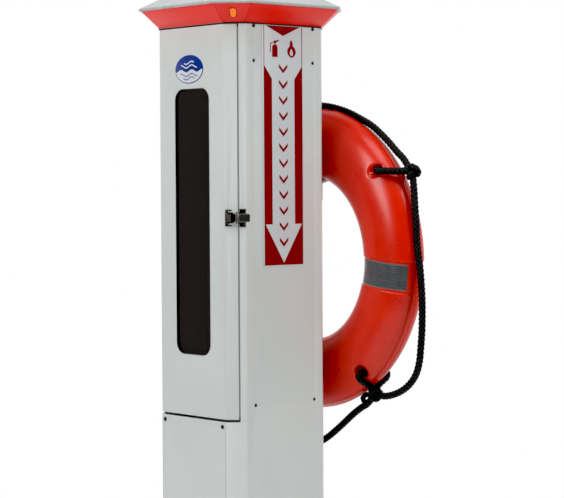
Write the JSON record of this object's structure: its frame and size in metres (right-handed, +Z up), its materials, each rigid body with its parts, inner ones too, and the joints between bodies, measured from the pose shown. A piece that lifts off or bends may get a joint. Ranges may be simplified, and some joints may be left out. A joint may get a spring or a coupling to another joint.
{
  "type": "dockside fire and rescue pedestal",
  "caption": "White square post with a windowed extinguisher cabinet, a flared orange collar, a hipped roof and an orange life ring with a black grab rope on its rear face.",
  "frame": {"origin": "centre of the base bolt pattern on the floor", "axes": "+Z up, -Y to the door, +X to the sign face, +Y to the life ring"},
  "size_m": [0.652, 0.4025, 1.397],
  "materials": {
    "white_powder_coat": "satin",
    "plain_aluminium": "brushed",
    "black_rubber": "matte",
    "dark_steel": "satin",
    "orange_gloss_plastic": "gloss",
    "white_gloss_plastic": "gloss",
    "lamp_red_plastic": "gloss",
    "amber_lens": "gloss",
    "green_board": "matte",
    "grey_plastic": "matte",
    "sign_vinyl": "satin",
    "stainless_steel": "satin",
    "smoked_acrylic": "gloss",
    "badge_plastic": "gloss",
    "ring_polyethylene": "gloss",
    "reflective_tape": "satin",
    "black_braid": "matte",
    "extinguisher_red": "gloss",
    "brass_valve": "satin"
  },
  "bodies": {
    "pedestal": {"base_flange": "white_powder_coat", "post_shell": "white_powder_coat", "door_frame": "plain_aluminium", "door_seal": "black_rubber", "panel_frame": "plain_aluminium", "lower_panel": "white_powder_coat", "panel_screws": "dark_steel", "cabinet_shelf": "plain_aluminium", "top_bulkhead": "plain_aluminium", "cap_tabs": "plain_aluminium", "cap_screws": "dark_steel", "side_rivets": "white_powder_coat", "collar_gasket": "black_rubber", "collar_band": "orange_gloss_plastic", "roof_cap": "white_gloss_plastic", "lamp_holder": "lamp_red_plastic", "lamp_lens": "amber_lens", "lamp_board": "green_board", "driver_box": "grey_plastic", "conduit": "grey_plastic", "cable_gland": "grey_plastic", "sign_plate": "sign_vinyl", "ring_bracket": "stainless_steel", "ring_pegs": "stainless_steel", "peg_caps": "black_rubber", "bracket_bolts": "stainless_steel", "ext_cradle": "black_rubber", "hinge_post_leaf": "stainless_steel", "hinge_pin": "stainless_steel", "latch_base": "stainless_steel", "latch_screws": "dark_steel", "latch_pin": "stainless_steel"},
    "door": {"hinge_door_leaf": "stainless_steel", "door_skin": "white_powder_coat", "window_gasket": "black_rubber", "window_pane": "smoked_acrylic", "window_retainer": "plain_aluminium", "retainer_nuts": "stainless_steel", "door_badge": "badge_plastic", "latch_keeper": "stainless_steel", "keeper_screws": "dark_steel"},
    "latch_bail": {"latch_bail": "stainless_steel"},
    "latch_lever": {"latch_lever": "stainless_steel"},
    "life_ring": {"life_ring": "ring_polyethylene", "reflective_tapes": "reflective_tape", "anchor_loops": "black_braid", "rope_knots": "black_braid", "rope_top": "black_braid", "rope_right": "black_braid", "rope_bottom": "black_braid", "rope_left": "black_braid"},
    "extinguisher": {"ext_cylinder": "extinguisher_red", "ext_valve": "brass_valve", "ext_siphon": "plain_aluminium", "ext_gauge": "brass_valve", "ext_handle": "stainless_steel", "ext_lever_pin": "stainless_steel", "ext_hose": "black_rubber"},
    "squeeze_lever": {"ext_lever": "stainless_steel"},
    "safety_pin": {"ext_safety_pin": "stainless_steel"}
  },
  "joints": [
    {"name": "door_hinge", "type": "hinge", "parent": "pedestal", "child": "door", "pos_m": [-0.11649, -0.10589, 0.885], "axis": [0, 0, -1], "range_deg": [0, 110]},
    {"name": "latch_lever_hinge", "type": "hinge", "parent": "pedestal", "child": "latch_lever", "pos_m": [0.1218, -0.11048, 0.894], "axis": [0, 0, -1], "range_deg": [0, 100]},
    {"name": "latch_bail_hinge", "type": "hinge", "parent": "door", "child": "latch_bail", "pos_m": [0.1073, -0.12427, 0.894], "axis": [0, 0, -1], "range_deg": [0, 110]},
    {"name": "ring_lift_off", "type": "slide", "parent": "pedestal", "child": "life_ring", "axis": [0, 0.9659, 0.2588], "range_m": [0, 0.2]},
    {"name": "extinguisher_lift", "type": "slide", "parent": "pedestal", "child": "extinguisher", "axis": [0, 0, 1], "range_m": [0, 0.03]},
    {"name": "squeeze_lever_hinge", "type": "hinge", "parent": "extinguisher", "child": "squeeze_lever", "pos_m": [-0.02, 0, 0.9173], "axis": [0, 1, 0], "range_deg": [0, 8], "stiffness_Nm_per_rad": 1, "springref_deg": -8.59},
    {"name": "safety_pin_pull", "type": "slide", "parent": "extinguisher", "child": "safety_pin", "axis": [0, -1, 0], "range_m": [0, 0.04]}
  ]
}
